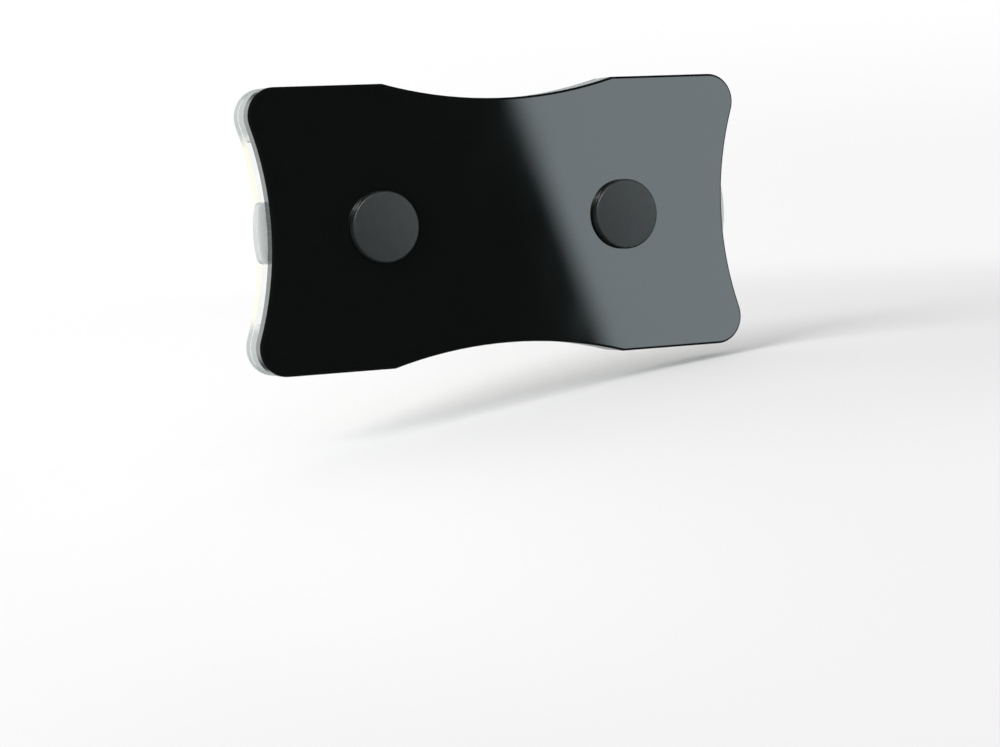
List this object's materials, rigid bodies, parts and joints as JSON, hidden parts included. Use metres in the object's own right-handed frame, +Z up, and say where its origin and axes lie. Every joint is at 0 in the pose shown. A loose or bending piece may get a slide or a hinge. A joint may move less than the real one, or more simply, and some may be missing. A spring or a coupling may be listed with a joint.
{
  "type": "life counter",
  "caption": "Flat hand-size life counter: waisted back and front plates on a spacer, with two cogged number dials turned by a finger at the sides and read through windows.",
  "frame": {"origin": "on the surface that the counter stands on, under the middle of its outline and of its full depth", "axes": "+X along the width, +Y from the back plate and its caps to the clear front plate, +Z up; the tens dial is on the +X side, which is the reader's left"},
  "size_m": [0.1, 0.0102, 0.052],
  "materials": {
    "black_acrylic": "polished",
    "clear_acrylic": "clear, polished",
    "face_print": "printed, satin",
    "dial_acrylic": "satin",
    "post_metal": "turned, satin",
    "screw_steel": "zinc plated",
    "cap_rubber": "matte",
    "tape_foam": "foam tape",
    "washer_nylon": "smooth",
    "spring_steel": "bright"
  },
  "bodies": {
    "root": {"back_plate": "black_acrylic", "spacer": "clear_acrylic", "face_sheet": "face_print", "front_plate": "clear_acrylic", "tens_post": "post_metal", "tens_screw": "screw_steel", "tens_cap": "cap_rubber", "tens_tape": "tape_foam", "tens_rear_washer": "washer_nylon", "tens_front_washer": "washer_nylon", "tens_spring": "spring_steel", "units_post": "post_metal", "units_screw": "screw_steel", "units_cap": "cap_rubber", "units_tape": "tape_foam", "units_rear_washer": "washer_nylon", "units_front_washer": "washer_nylon", "units_spring": "spring_steel"},
    "tens_dial": {"tens_dial": "dial_acrylic"},
    "units_dial": {"units_dial": "dial_acrylic"}
  },
  "joints": [
    {"name": "tens_dial_turn", "type": "hinge", "parent": "root", "child": "tens_dial", "pos_m": [0.0249, 0, 0.026], "axis": [0, 1, 0], "continuous": true},
    {"name": "units_dial_turn", "type": "hinge", "parent": "root", "child": "units_dial", "pos_m": [-0.0249, 0, 0.026], "axis": [0, 1, 0], "continuous": true}
  ]
}
